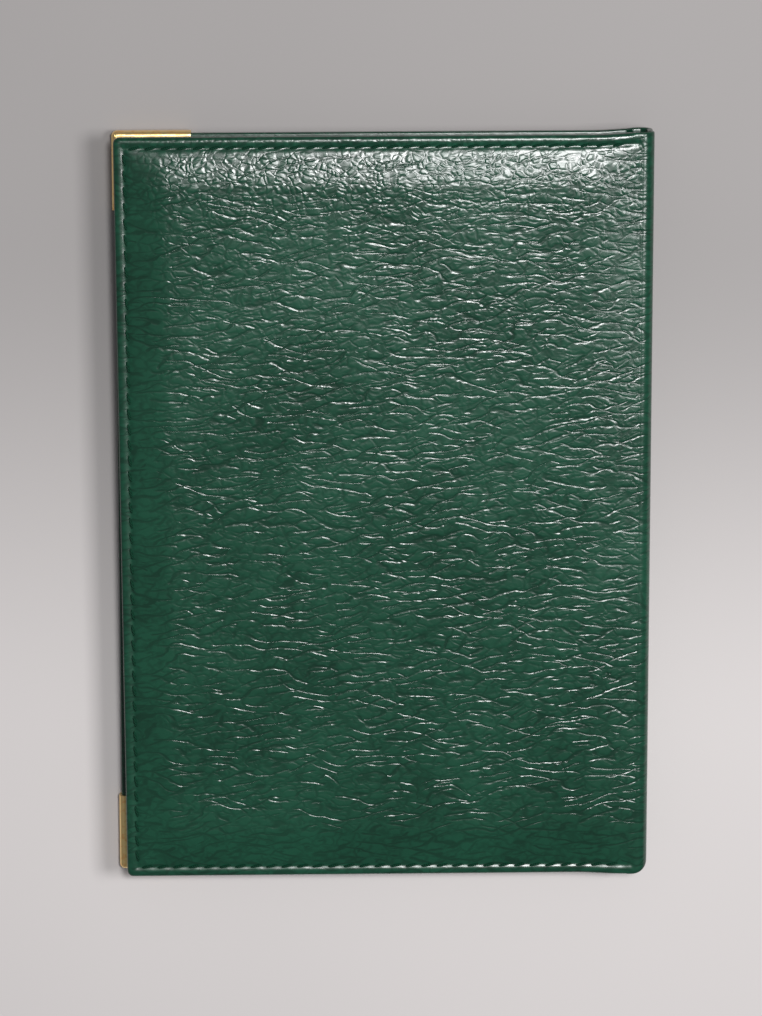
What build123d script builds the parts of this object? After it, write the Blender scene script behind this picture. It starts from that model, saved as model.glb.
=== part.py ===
from build123d import *
import os

# A pocket notebook: a padded leather cover with turned edges, folded round a stapled refill.
# It lies on its front cover, with the back cover on top, the spine on +X and the head on +Y.
# Both covers carry the same layers. The front cover alone has two gilt corners on its fore edge.
# All sizes are in millimetres.

# ---- driving dimensions: the closed notebook ----
COVER_HEIGHT = 143.4      # head to foot
COVER_WIDTH = 100.8       # outside of the spine to the fore edge of the back cover
HEAD_OVERHANG = 0.15      # how much further the front cover reaches at the fore edge, at the head
FOOT_OVERHANG = 1.3       # and at the foot, because the front cover is cut a little out of square
CORNER_RADIUS = 1.2       # plan radius of the fore corners
BOARD_GAP = 2.7           # the board and its infill stop this far before the hinge

# ---- layers of one cover, from the pages outwards ----
LINING = 0.4
TURN_IN = 0.5             # skived leather folded over the edge, level with the infill card
BOARD = 0.6
PADDING = 0.9
LEATHER = 0.7
RIM = LINING + TURN_IN + BOARD + LEATHER      # thickness at the stitched rim
CROWN = RIM + PADDING                         # thickness over the padding
TURN_IN_WIDTH = 9.0
LINING_INSET = 1.2        # from the cover's edge to the lining's edge
PAD_START = 3.0           # from the cover's edge to the foot of the padded slope
PAD_SLOPE = 7.0           # plan width of the padded slope
OUTER_EDGE_ROUND = 0.65
INNER_EDGE_ROUND = 0.35

# ---- slip pockets ----
POCKET_SLIT = 0.4         # room for the refill's card
POCKET = 0.5
POCKET_WIDTH = 58.0
POCKET_HEM = 3.8          # width of the sewn hem

# ---- refill: folded sheets in a card cover, held by two staples ----
PAGE_WIDTH = 90.0
PAGE_HEIGHT = 132.0
PAGE_CORNER = 4.0
HALF_STACK = 1.2          # thickness of the leaves on each side of the centre fold
LEAF_GROUPS = ("outer", "middle", "inner")    # groups of leaves on each side, from its cover inwards
LEAF_GAP = 0.02           # between groups
PAGE_CLEARANCE = 0.1
FOLD_CLEARANCE = 0.35     # the flat part of a leaf stops this far before the fold's axis
CARD = 0.3
CARD_BACK_OFF = 1.5       # the card's flat part stops this far before the fold's axis
STAPLE_WIRE = 0.5
STAPLE_CROWN = 12.0
STAPLE_CLINCH = 4.5
STAPLE_OFFSET = 38.0      # from mid height to the middle of each staple
STAPLE_HOLE_ROOM = 0.1

# ---- spine ----
HINGE_RADIUS = 2.0        # bend of the leather's middle surface at each spine edge
SPINE_HEAD = 0.5          # the gathered leather at the spine's head stands this much proud
FOLD_ROOM = 0.13          # how much further in than half the spine the refill's fold lies

# ---- stitching and gilt corners ----
STITCH_INSET = 2.0        # from the cover's edge to the seam
STITCH_PITCH = 3.0
STITCH_LENGTH = 2.3
STITCH_WIDTH = 0.5
STITCH_RISE = 0.22
STITCH_SLANT = 11.0       # degrees
SEAM_SPINE_GAP = 1.6      # from the cover's spine side end to the first stitch
GILT_LEG = 14.4
GILT_WIDTH = 3.2
GILT_WALL = 0.5
GILT_ROUND = 0.9
GILT_CORNER = 1.0         # plan radius of the mitred corner
MITRE_WIDTH = 0.16
MITRE_DEPTH = 0.14

# ---- derived sizes ----
PAGE_PLANE = CROWN + POCKET_SLIT + POCKET     # outer face of a cover to the page side of its pocket
THICKNESS = 2 * (PAGE_PLANE + PAGE_CLEARANCE + HALF_STACK)
MID = THICKNESS / 2
SPINE_X = (COVER_WIDTH + FOOT_OVERHANG + GILT_WALL) / 2
HINGE_X = SPINE_X - LEATHER / 2 - HINGE_RADIUS           # where a cover ends and its hinge begins
PIVOT_INSET = 0.2146 * HINGE_RADIUS                      # keeps the leather's length as it flattens
PIVOT_X = SPINE_X - LEATHER / 2 - PIVOT_INSET
PIVOT_Z = PADDING + LEATHER / 2 + PIVOT_INSET
FOLD_X = PIVOT_X - (MID - PIVOT_Z) - FOLD_ROOM
SPINE_LOW = PADDING + LEATHER / 2 + HINGE_RADIUS         # lower end of the flat spine
HALF_HEIGHT = COVER_HEIGHT / 2

# Each cover's width from fore edge to hinge, at the head and at the foot.
BACK_WIDTHS = (COVER_WIDTH - LEATHER / 2 - HINGE_RADIUS,) * 2
FRONT_WIDTHS = (BACK_WIDTHS[0] + HEAD_OVERHANG, BACK_WIDTHS[1] + FOOT_OVERHANG)


def block(x_range, y_range, z_range):
    """A box between pairs of coordinates."""
    size = [high - low for low, high in (x_range, y_range, z_range)]
    middle = [(high + low) / 2 for low, high in (x_range, y_range, z_range)]
    return Pos(*middle) * Box(*size)


def sheet_plan(x_range, y_range, radius):
    """A rectangle with its two fore corners rounded. The fore edge is at the low x."""
    width, height = x_range[1] - x_range[0], y_range[1] - y_range[0]
    plan = Rectangle(width, height)
    fore = plan.vertices().group_by(Axis.X)[0]
    plan = fillet(fore, radius)
    return Pos((x_range[0] + x_range[1]) / 2, (y_range[0] + y_range[1]) / 2) * plan


def cover_plan(widths, inset, spine_gap=0.0, radius=CORNER_RADIUS):
    """The outline of a cover, drawn in by inset at head, foot and fore edge. The hinge is at x = 0."""
    y = HALF_HEIGHT - inset
    plan = make_face(Polyline(
        (-spine_gap, y), (inset - widths[0], y), (inset - widths[1], -y), (-spine_gap, -y), close=True
    ))
    fore = plan.vertices().sort_by(Axis.X)[:2]
    return fillet(fore, max(radius - inset, 0.5))


def beyond(x_range, y_range):
    """A rectangle between pairs of coordinates, for cutting plans."""
    middle = Pos(sum(x_range) / 2, sum(y_range) / 2)
    return middle * Rectangle(x_range[1] - x_range[0], y_range[1] - y_range[0])


def plate(plan, low, high):
    """A plan pulled up between two heights."""
    return extrude(Pos(0, 0, low) * plan, high - low)


def pillow(widths, inset, low, high):
    """The padded part of a cover: a low plateau with sloping sides."""
    foot = Pos(0, 0, low) * cover_plan(widths, inset, spine_gap=0.4)
    top = Pos(0, 0, high) * cover_plan(widths, inset + PAD_SLOPE, spine_gap=PAD_SLOPE - 0.6)
    return loft([foot, top])


def rim_slab(widths):
    """The stitched rim of the outer leather, before the layers inside it are taken out."""
    slab = plate(cover_plan(widths, 0), LINING, RIM)
    for height, radius in ((RIM, OUTER_EDGE_ROUND), (LINING, INNER_EDGE_ROUND)):
        around = [e for e in slab.edges() if abs(e.center().Z - height) < 0.01 and abs(e.center().X) > 0.1]
        slab = fillet(around, radius)
    return slab


def gilt_envelope(widths, end, grow, low, high):
    """The L-shaped footprint of a gilt corner, pulled up. end is 1 at the head and -1 at the foot."""
    x_fore = -(widths[0] if end > 0 else widths[1])
    reach, band, far = GILT_LEG + grow, GILT_WIDTH + grow, COVER_HEIGHT
    outline = cover_plan(widths, -GILT_WALL, radius=GILT_CORNER - GILT_WALL)
    y_low, y_high = sorted((end * (HALF_HEIGHT - reach), end * far))
    keep = beyond((x_fore - far, x_fore + reach), (y_low, y_high))
    y_low, y_high = sorted((-end * far, end * (HALF_HEIGHT - band)))
    inside = beyond((x_fore + band, x_fore + far), (y_low, y_high))
    return plate((outline & keep) - inside, low, high)


def gilt_corner(widths, end):
    """A gilt corner: a channel bent round the rim, with a mitre line on each face."""
    low, high = LINING - GILT_WALL, RIM + GILT_WALL
    x_fore = -(widths[0] if end > 0 else widths[1])
    solid = gilt_envelope(widths, end, 0.0, low, high)
    outside = [
        e for e in solid.edges()
        if (e.center().X < x_fore + 0.1 or end * e.center().Y > HALF_HEIGHT - 0.1)
        and abs(e.tangent_at(0.5).Z) < 0.1 and e.length > 1.2
    ]
    solid = fillet(outside, GILT_ROUND)
    corner = Pos(x_fore - GILT_WALL, end * (HALF_HEIGHT + GILT_WALL))
    for height in (low, high):
        cut = Box(4 * GILT_WIDTH, MITRE_WIDTH, 2 * MITRE_DEPTH)
        solid -= Pos(0, 0, height) * corner * Rot(0, 0, -45 * end) * cut
    return solid - rim_slab(widths)


def seam_places(widths):
    """Where stitches go along head, fore edge and foot: (x, y, direction in degrees)."""
    y_seam = HALF_HEIGHT - STITCH_INSET
    head, foot = Vector(STITCH_INSET - widths[0], y_seam), Vector(STITCH_INSET - widths[1], -y_seam)
    start, finish = Vector(-SEAM_SPINE_GAP, y_seam), Vector(-SEAM_SPINE_GAP, -y_seam)
    places = []
    for begin, end in ((start, head), (head, foot), (foot, finish)):
        run = end - begin
        direction = Vector(1, 0).get_signed_angle(run)
        count = round(run.length / STITCH_PITCH)
        for k in range(count):
            place = begin + run * ((k + 0.5) / count)
            places.append((place.X, place.Y, direction))
    return places


def stitching(widths, gilt):
    """Every stitch of one cover's seam, on the outside and on the inside, as separate solids."""
    stitch = extrude(SlotOverall(STITCH_LENGTH, STITCH_WIDTH), STITCH_RISE)
    pocket_end = POCKET_WIDTH - widths[1] + STITCH_LENGTH / 2
    under_gilt = GILT_LEG + STITCH_LENGTH / 2
    stitches = []
    for x, y, direction in seam_places(widths):
        x_fore = -(widths[0] if y > 0 else widths[1])
        if gilt and x < x_fore + under_gilt and abs(y) > HALF_HEIGHT - under_gilt:
            continue
        stitches.append(Pos(x, y, RIM) * Rot(0, 0, direction + STITCH_SLANT) * stitch)
        inner = -STITCH_RISE if x > pocket_end else -POCKET_SLIT - POCKET - STITCH_RISE
        if abs(x - pocket_end) > STITCH_LENGTH:
            stitches.append(Pos(x, y, inner) * Rot(0, 0, direction - STITCH_SLANT) * stitch)
    return Compound(children=[solid for stitch in stitches for solid in stitch.solids()])


def slip_pocket(widths):
    """The pocket's panel and the three strips of its sewn hem, which leave the slit for the card."""
    outline = cover_plan(widths, LINING_INSET)
    within = cover_plan(widths, LINING_INSET + POCKET_HEM)
    x_free = POCKET_WIDTH - widths[1]
    x_hem = LINING_INSET + POCKET_HEM - widths[0]
    far = COVER_HEIGHT
    panel_plan = outline & beyond((-far, x_free), (-far, far))
    hem_plan = panel_plan - within
    strips = [
        hem_plan & beyond((-far, x_hem), (-far, far)),
        hem_plan & beyond((x_hem, x_free), (0, far)),
        hem_plan & beyond((x_hem, x_free), (-far, 0)),
    ]
    panel = plate(panel_plan, -POCKET_SLIT - POCKET, -POCKET_SLIT)
    return panel, [plate(strip, -POCKET_SLIT, 0) for strip in strips]


def cover(widths, gilt):
    """The layers of one cover. z = 0 is the lining's page side, and +z points outwards."""
    board = plate(cover_plan(widths, LEATHER, spine_gap=BOARD_GAP), LINING + TURN_IN, LINING + TURN_IN + BOARD)
    padding = pillow(widths, PAD_START + 0.2, RIM - LEATHER, CROWN - LEATHER)
    infill = plate(cover_plan(widths, TURN_IN_WIDTH, spine_gap=BOARD_GAP), LINING, LINING + TURN_IN)
    lining = plate(cover_plan(widths, LINING_INSET), 0, LINING)
    leather = rim_slab(widths) + pillow(widths, PAD_START, RIM, CROWN)
    leather = leather - board - padding - infill
    panel, hem = slip_pocket(widths)
    if gilt:
        for end in (1, -1):
            room = gilt_envelope(widths, end, 0.1, -POCKET_SLIT - POCKET - 0.1, LINING)
            lining -= room
            panel -= room
            hem = [strip - room for strip in hem]
    return {
        "leather": leather, "padding": padding, "board": board, "infill": infill, "lining": lining,
        "pocket_panel": panel, "pocket_hem": Compound(children=[s for strip in hem for s in strip.solids()]),
        "stitching": stitching(widths, gilt),
    }


def spine_parts():
    """The flat spine between the two hinges: leather with turned ends, infill card and lining."""
    z_range = (SPINE_LOW, THICKNESS - SPINE_LOW)
    between = (TURN_IN_WIDTH - HALF_HEIGHT, HALF_HEIGHT - TURN_IN_WIDTH)
    lined = (LINING_INSET - HALF_HEIGHT, HALF_HEIGHT - LINING_INSET)
    x_skin, x_card = SPINE_X - LEATHER, SPINE_X - LEATHER - TURN_IN
    infill = block((x_card, x_skin), between, z_range)
    full = (-HALF_HEIGHT, HALF_HEIGHT + SPINE_HEAD)
    leather = block((x_card, SPINE_X), full, z_range)
    outer_ends = [e for e in leather.edges().filter_by(Axis.Z) if e.center().X > SPINE_X - 0.01]
    leather = fillet(outer_ends, OUTER_EDGE_ROUND) - infill
    lining = block((x_card - LINING, x_card), lined, z_range)
    return {"spine_leather": leather, "spine_infill": infill, "spine_lining": lining}


def hinge_leather(upper):
    """The quarter bend of leather between a cover and the spine, with its lining left out."""
    z_centre = THICKNESS - SPINE_LOW if upper else SPINE_LOW
    ring = Circle(HINGE_RADIUS + LEATHER / 2) - Circle(HINGE_RADIUS - LEATHER / 2)
    reach = 2 * HINGE_RADIUS
    # On the XZ plane a sketch's x is the notebook's x and its y is the notebook's z.
    quarter = ring & (Pos(reach / 2, reach / 2 if upper else -reach / 2) * Rectangle(reach, reach))
    length = COVER_HEIGHT - 2 * OUTER_EDGE_ROUND
    bend = extrude(Plane.XZ * quarter, length / 2, both=True)
    return Pos(HINGE_X, 0, z_centre) * bend


def leaf_stack(low, high):
    """A group of leaves as one slab, from the fold to the fore edge."""
    half = PAGE_HEIGHT / 2
    plan = sheet_plan((FOLD_X - PAGE_WIDTH, FOLD_X - FOLD_CLEARANCE), (-half, half), PAGE_CORNER)
    return plate(plan, low, high)


def staple(y_middle):
    """A clinched wire staple. Its crown lies outside the card's spine and its ends in the fold."""
    x_crown = FOLD_X + HALF_STACK + CARD + 0.05 + STAPLE_WIRE / 2
    half = STAPLE_CROWN / 2
    points = [(FOLD_X, y_middle - half + STAPLE_CLINCH, MID), (FOLD_X, y_middle - half, MID),
              (x_crown, y_middle - half, MID), (x_crown, y_middle + half, MID),
              (FOLD_X, y_middle + half, MID), (FOLD_X, y_middle + half - STAPLE_CLINCH, MID)]
    path = FilletPolyline(*points, radius=STAPLE_WIRE)
    start = Plane(origin=path @ 0, z_dir=path % 0)
    return sweep(start * Circle(STAPLE_WIRE / 2), path=path)


def refill_parts():
    """Leaves, fold, card cover and staples of the refill."""
    half = PAGE_HEIGHT / 2
    parts = {}
    step = HALF_STACK / len(LEAF_GROUPS)
    for k, name in enumerate(LEAF_GROUPS):
        far, near = HALF_STACK - k * step, HALF_STACK - (k + 1) * step + LEAF_GAP
        parts[f"leaves_front_{name}"] = leaf_stack(MID - far, MID - near)
        parts[f"leaves_back_{name}"] = leaf_stack(MID + near, MID + far)
    x_card = (FOLD_X - PAGE_WIDTH, FOLD_X - CARD_BACK_OFF)
    card_plan = sheet_plan(x_card, (-half, half), PAGE_CORNER)
    inner_slack = (POCKET_SLIT - CARD) / 2
    parts["refill_front_card"] = plate(card_plan, CROWN + inner_slack, CROWN + inner_slack + CARD)
    z_back = THICKNESS - CROWN - inner_slack
    parts["refill_back_card"] = plate(card_plan, z_back - CARD, z_back)
    staples = [staple(-STAPLE_OFFSET), staple(STAPLE_OFFSET)]
    x_strip = FOLD_X + HALF_STACK + 0.05
    tall = HALF_STACK + CARD
    strip = block((x_strip, x_strip + CARD), (-half, half), (MID - tall, MID + tall))
    # On the XZ plane a sketch's x is the notebook's x and its y is the notebook's z.
    bend_plan = Circle(HALF_STACK) & (Pos(HALF_STACK, 0) * Rectangle(2 * HALF_STACK, 4 * HALF_STACK))
    bend_plan += Pos(-FOLD_CLEARANCE / 2, 0) * Rectangle(FOLD_CLEARANCE, 2 * HALF_STACK)
    fold = Pos(FOLD_X, 0, MID) * extrude(Plane.XZ * bend_plan, half, both=True)
    hole = Cylinder(STAPLE_WIRE / 2 + STAPLE_HOLE_ROOM, 4 * HALF_STACK)
    for y_middle in (-STAPLE_OFFSET, STAPLE_OFFSET):
        for side in (-1, 1):
            y_leg = y_middle + side * STAPLE_CROWN / 2
            strip -= Pos(x_strip, y_leg, MID) * Rot(0, 90, 0) * hole
        trough = (y_middle - STAPLE_CROWN / 2 - STAPLE_WIRE, y_middle + STAPLE_CROWN / 2 + STAPLE_WIRE)
        half_wire = STAPLE_WIRE / 2 + STAPLE_HOLE_ROOM
        fold -= block((FOLD_X - FOLD_CLEARANCE, FOLD_X + 3 * HALF_STACK), trough,
                      (MID - half_wire, MID + half_wire))
    parts["refill_spine_card"] = strip
    parts["refill_fold"] = fold
    parts["refill_staples"] = Compound(children=staples)
    return parts


def place_front(shape):
    """Cover coordinates to the notebook's frame, for the front cover below."""
    return Pos(HINGE_X, 0, CROWN) * mirror(shape, Plane.XY)


def place_back(shape):
    """Cover coordinates to the notebook's frame, for the back cover on top."""
    return Pos(HINGE_X, 0, THICKNESS - CROWN) * shape


def build():
    """All sub-parts by node name, in the notebook's frame."""
    nodes = {}
    for name, shape in cover(FRONT_WIDTHS, gilt=True).items():
        nodes[f"front_{name}"] = place_front(shape)
    for name, shape in cover(BACK_WIDTHS, gilt=False).items():
        nodes[f"back_{name}"] = place_back(shape)
    nodes["gilt_corner_head"] = place_front(gilt_corner(FRONT_WIDTHS, 1))
    nodes["gilt_corner_foot"] = place_front(gilt_corner(FRONT_WIDTHS, -1))
    nodes.update(spine_parts())
    nodes["front_hinge_leather"] = hinge_leather(upper=False)
    nodes["back_hinge_leather"] = hinge_leather(upper=True)
    nodes.update(refill_parts())
    return nodes


os.makedirs("parts", exist_ok=True)
for node, shape in build().items():
    export_step(shape, f"parts/{node}.step")
print(f"hinge axes at x {PIVOT_X:.3f}, z {PIVOT_Z:.3f} and z {THICKNESS - PIVOT_Z:.3f}")
print(f"refill fold axis at x {FOLD_X:.3f}, z {MID:.3f}; thickness {THICKNESS:.2f}; hinge x {HINGE_X:.3f}")
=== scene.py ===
import math

import bpy
import numpy as np
from bpy.props import FloatProperty, FloatVectorProperty, IntProperty, PointerProperty
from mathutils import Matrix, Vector


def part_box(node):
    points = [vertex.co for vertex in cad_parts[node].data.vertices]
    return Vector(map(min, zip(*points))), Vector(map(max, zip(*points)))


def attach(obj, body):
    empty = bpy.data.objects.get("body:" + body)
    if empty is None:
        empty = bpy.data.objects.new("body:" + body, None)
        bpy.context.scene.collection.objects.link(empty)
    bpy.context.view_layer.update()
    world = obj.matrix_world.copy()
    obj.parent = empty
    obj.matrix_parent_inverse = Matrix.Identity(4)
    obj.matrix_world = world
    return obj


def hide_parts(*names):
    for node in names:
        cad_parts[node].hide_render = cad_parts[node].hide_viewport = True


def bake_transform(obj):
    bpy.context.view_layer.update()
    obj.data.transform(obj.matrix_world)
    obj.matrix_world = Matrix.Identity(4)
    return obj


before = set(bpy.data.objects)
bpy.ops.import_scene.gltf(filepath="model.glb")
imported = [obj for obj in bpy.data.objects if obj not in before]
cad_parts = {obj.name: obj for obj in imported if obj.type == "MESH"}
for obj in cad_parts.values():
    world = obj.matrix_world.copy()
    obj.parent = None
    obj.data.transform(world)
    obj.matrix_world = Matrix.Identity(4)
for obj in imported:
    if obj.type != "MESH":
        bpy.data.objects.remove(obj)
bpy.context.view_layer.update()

bl_info = {
    "name": "Pocket notebook",
    "version": (1, 0, 0),
    "blender": (4, 5, 0),
    "location": "View3D > Sidebar > Notebook",
    "description": "Builds a padded leather pocket notebook around its CAD frame",
    "category": "Object",
}

MM = 0.001

# ---- places, read from the frame, in metres ----
BACK_LOW, BACK_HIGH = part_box("back_leather")
FRONT_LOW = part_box("front_leather")[0]
BEND_LOW, BEND_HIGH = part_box("back_hinge_leather")
LINING_LOW, LINING_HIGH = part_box("back_lining")
PANEL_LOW, PANEL_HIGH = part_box("back_pocket_panel")
SPINE_LOW, SPINE_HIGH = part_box("spine_leather")
LEAF_LOW, LEAF_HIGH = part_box("leaves_back_outer")
FOLD_LOW, FOLD_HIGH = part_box("refill_fold")
GILT_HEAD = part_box("gilt_corner_head")
GILT_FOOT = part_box("gilt_corner_foot")

HINGE_X = BACK_HIGH[0]                     # where the flat of each cover ends
SPINE_X = SPINE_HIGH[0]                    # outside of the spine
HALF_HEIGHT = BACK_HIGH[1]
MID_Z = (BACK_HIGH[2] + FRONT_LOW[2]) / 2
PAGE_FACE = LINING_LOW[2]                  # height of the back lining's page side
RIM = BEND_HIGH[2] - PAGE_FACE             # depth of a cover at its stitched rim
PADDING = BACK_HIGH[2] - BEND_HIGH[2]
SLAB = BACK_HIGH[2] - BACK_LOW[2] - PADDING          # leather, boards and turned edge together
BEND_OUTER = BEND_HIGH[0] - BEND_LOW[0]
BEND_DEPTH = RIM - BEND_OUTER              # depth of the bend's centre below the page side
STRIP = HALF_HEIGHT - LINING_HIGH[1]       # turned edge left bare beside the lining
SPINE_STACK = SPINE_X - SPINE_LOW[0]       # spine leather with its turned ends
POCKET_DEPTH = PAGE_FACE - PANEL_LOW[2]
POCKET_SHEET = PANEL_HIGH[2] - PANEL_LOW[2]
POCKET_END = PANEL_HIGH[0] - HINGE_X       # the pocket's open edge, from the hinge line
FOLD_X = FOLD_HIGH[0] - (FOLD_HIGH[2] - FOLD_LOW[2]) / 2
GILT_WALL = FRONT_LOW[0] - GILT_FOOT[0][0]
GILT_LEG = GILT_HEAD[1][1] - GILT_WALL - GILT_HEAD[0][1]
FRONT_SKEW = (GILT_HEAD[0][0] + GILT_WALL - FRONT_LOW[0]) / (GILT_HEAD[0][1] + HALF_HEIGHT)
ARC = math.pi / 2 * (BEND_OUTER - 0.35 * MM)          # length of the bend along the leather's middle
HALF_SPINE = BEND_LOW[2] - MID_Z                       # the flat of the spine above mid height
LINING = LINING_HIGH[2] - LINING_LOW[2]

# ---- sizes chosen here, in metres ----
GILT_BAND = 3.3 * MM      # breadth of a gilt corner's legs, with room
CORNER = 1.2 * MM         # radius of the cover's corners at the fore edge
THIN_FROM = 2.6 * MM      # the wrapped section starts to thin this far before the hinge line
WAVE_ROOM = 0.085 * MM    # left at the top of the padding for the waves and the pebbles
SEAM_END = 1.6 * MM       # from the hinge line to the end of a seam
HEM = 3.8 * MM            # width of a pocket's sewn hem
PAGE_CORNER = 4 * MM      # radius of a leaf's corners
CLOSE_GRAIN = (HALF_HEIGHT - 18 * MM, HALF_HEIGHT - 10 * MM)   # where the pebbles turn small, near the head
KEY_PLACE = (0.09, 0.21, 0.80)           # beyond the head, for the gloss along it
FILL_PLACE = (0.36, 0.10, 0.62)          # on the spine's side, for the shadow beside the fore edge
CAMERA_PLACE = (-0.01049, 0.15136, 0.69061)
CAMERA_TURN = (-12.4375, -0.9339, -0.2534)             # degrees
SHARP = math.radians(35)  # faces that meet at more than this keep a sharp edge


# ------------------------------------------------------------------ settings


class LeatherSettings(bpy.types.PropertyGroup):
    """The cover's leather."""

    colour: FloatVectorProperty(
        name="Leather", description="Colour of the dyed leather", subtype="COLOR", size=3,
        default=(0.0046, 0.0525, 0.0275), min=0, max=1,
    )
    thickness: FloatProperty(
        name="Thickness", description="Thickness of the leather over the spine", unit="LENGTH",
        default=0.7 * MM)
    pebble_length: FloatProperty(
        name="Pebble length", description="Length of a grain pebble across the cover", unit="LENGTH",
        default=3.4 * MM)
    pebble_height: FloatProperty(
        name="Pebble height", description="Height of a grain pebble from head to foot", unit="LENGTH",
        default=1.75 * MM)
    grain_depth: FloatProperty(
        name="Grain depth", description="Depth of the creases between pebbles", unit="LENGTH",
        default=0.075 * MM)
    grid: FloatProperty(
        name="Grid", description="Spacing of the leather's mesh", unit="LENGTH", default=0.5 * MM)
    seam_inset: FloatProperty(
        name="Seam inset", description="Distance from the edge to the seam", unit="LENGTH", default=2.0 * MM)
    seam_groove: FloatProperty(
        name="Seam groove", description="How far the seam draws the leather in", unit="LENGTH",
        default=0.2 * MM)
    slope: FloatProperty(
        name="Slope", description="Width of the padding's slope beside the seam", unit="LENGTH",
        default=7.2 * MM)


class ThreadSettings(bpy.types.PropertyGroup):
    """The seam's thread."""

    colour: FloatVectorProperty(
        name="Thread", description="Colour of the waxed thread", subtype="COLOR", size=3,
        default=(0.0045, 0.040, 0.021), min=0, max=1,
    )
    pitch: FloatProperty(name="Pitch", description="Stitch to stitch", unit="LENGTH", default=3.0 * MM)
    length: FloatProperty(name="Length", description="Length of one stitch", unit="LENGTH", default=2.4 * MM)
    diameter: FloatProperty(name="Diameter", description="Diameter of the thread", unit="LENGTH",
                            default=0.52 * MM)
    slant: FloatProperty(name="Slant", description="Turn of each stitch from the seam's line",
                         unit="ROTATION", default=math.radians(12))


class RefillSettings(bpy.types.PropertyGroup):
    """The leaves of the refill."""

    colour: FloatVectorProperty(
        name="Paper", description="Colour of the paper", subtype="COLOR", size=3,
        default=(0.80, 0.76, 0.65), min=0, max=1,
    )
    sheets: IntProperty(name="Sheets", description="Sheets in each group of leaves", default=4, min=1, max=8)
    ruling: FloatProperty(name="Ruling", description="Distance between ruled lines", unit="LENGTH",
                          default=7 * MM)


class StageSettings(bpy.types.PropertyGroup):
    """Floor, light and camera."""

    floor: FloatVectorProperty(
        name="Floor", description="Colour of the floor", subtype="COLOR", size=3,
        default=(0.58, 0.548, 0.543), min=0, max=1,
    )
    # Painted shade: beyond the head the floor's colour is darkened to this share of its colour at the foot,
    # standing in for weaker light there.
    painted_shade_share: FloatProperty(
        name="Grading", description="Lightness of the paper beyond the head, as a share of that at the foot",
        default=0.54, min=0, max=1,
    )
    key_power: FloatProperty(name="Key", description="Power of the light beyond the head", unit="POWER",
                             default=3.9)
    fill_power: FloatProperty(name="Fill", description="Power of the light on the spine's side", unit="POWER",
                              default=2.9)
    sky: FloatProperty(name="Sky", description="Strength of the even light all round", default=0.20, min=0)
    lens: FloatProperty(name="Lens", description="Camera's focal length", default=130.3, min=1)


# ------------------------------------------------------------------ node trees


def node(tree, kind, inputs=None, **settings):
    """A node with its properties and its inputs set. An input is a value or an output to link from."""
    made = tree.nodes.new(kind)
    for name, value in settings.items():
        setattr(made, name, value)
    for key, value in (inputs or {}).items():
        if isinstance(value, bpy.types.NodeSocket):
            tree.links.new(value, made.inputs[key])
        else:
            made.inputs[key].default_value = value
    return made


def maths(tree, operation, *values):
    """The output of a Math node."""
    return node(tree, "ShaderNodeMath", dict(enumerate(values)), operation=operation).outputs[0]


def plus(tree, first, second):
    """The sum of two values."""
    return maths(tree, "ADD", first, second)


def minus(tree, first, second):
    """The first value less the second."""
    return maths(tree, "SUBTRACT", first, second)


def times(tree, first, second):
    """The product of two values."""
    return maths(tree, "MULTIPLY", first, second)


def vector_maths(tree, operation, *values):
    """The output of a Vector Math node."""
    return node(tree, "ShaderNodeVectorMath", dict(enumerate(values)), operation=operation).outputs[0]


def dot(tree, place, direction):
    """The dot product of a place with a fixed direction."""
    return node(tree, "ShaderNodeVectorMath", {0: place, 1: direction},
                operation="DOT_PRODUCT").outputs["Value"]


def ramp(tree, value, low, high, to_low=0.0, to_high=1.0, smooth=True):
    """The value mapped between two ranges."""
    limits = {"From Min": low, "From Max": high, "To Min": to_low, "To Max": to_high}
    return node(tree, "ShaderNodeMapRange", {"Value": value, **limits},
                interpolation_type="SMOOTHSTEP" if smooth else "LINEAR").outputs["Result"]


def noise(tree, place, scale, detail=2.0):
    """A noise node. Its first output is a value about 0.5."""
    return node(tree, "ShaderNodeTexNoise", {"Vector": place, "Scale": scale, "Detail": detail})


def blotch(tree, value, low, high):
    """A noise's value spread softly between two limits."""
    return ramp(tree, value, 0.3, 0.7, low, high)


def cells(tree, place, size):
    """Distance to the nearest cell edge for cells of the given length and height."""
    scaled = vector_maths(tree, "MULTIPLY", place, (1 / size[0], 1 / size[1], 1 / size[1]))
    return node(tree, "ShaderNodeTexVoronoi", {"Vector": scaled, "Scale": 1.0, "Randomness": 0.9},
                feature="DISTANCE_TO_EDGE").outputs["Distance"]


def furrow_rows(tree, place, turn, spacing, seed):
    """Distance, from 0 to 0.5, to the nearest of a set of wavering rows, and how strong they are there."""
    moved = vector_maths(tree, "ADD", place, (seed, seed * 0.7, seed * 0.3))
    across_rows = (-math.sin(turn) / spacing, math.cos(turn) / spacing, 0)
    row = dot(tree, place, across_rows)
    stretched = vector_maths(tree, "MULTIPLY", moved, (0.7, 1.3, 1.0))
    sway = ramp(tree, noise(tree, stretched, 130, 1.0).outputs[0], 0.25, 0.75, -0.85, 0.85, smooth=False)
    tremor = ramp(tree, noise(tree, stretched, 520, 1.0).outputs[0], 0.25, 0.75, -0.13, 0.13, smooth=False)
    row = plus(tree, row, plus(tree, sway, tremor))
    broken = vector_maths(tree, "MULTIPLY", moved, (0.6, 1.0, 1.0))
    strength = ramp(tree, noise(tree, broken, 360, 1.0).outputs[0], 0.38, 0.58, 0.0, 1.0)
    return maths(tree, "PINGPONG", row, 0.5), strength


def lens_net(tree, place, height):
    """Two sets of rows that cross at a small angle and close long lens-shaped pebbles."""
    rows = ((0.27, 1.15, 0.013), (-0.16, 1.25, 0.171))
    return [furrow_rows(tree, place, turn, height * share, seed) for turn, share, seed in rows]


def pebble_dome(tree, place, height):
    """The pebbles' soft domes, from 0 at their borders to 1."""
    (first, _), (second, _) = lens_net(tree, place, height)
    return times(tree, ramp(tree, first, 0.0, 0.4), ramp(tree, second, 0.0, 0.4))


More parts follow.
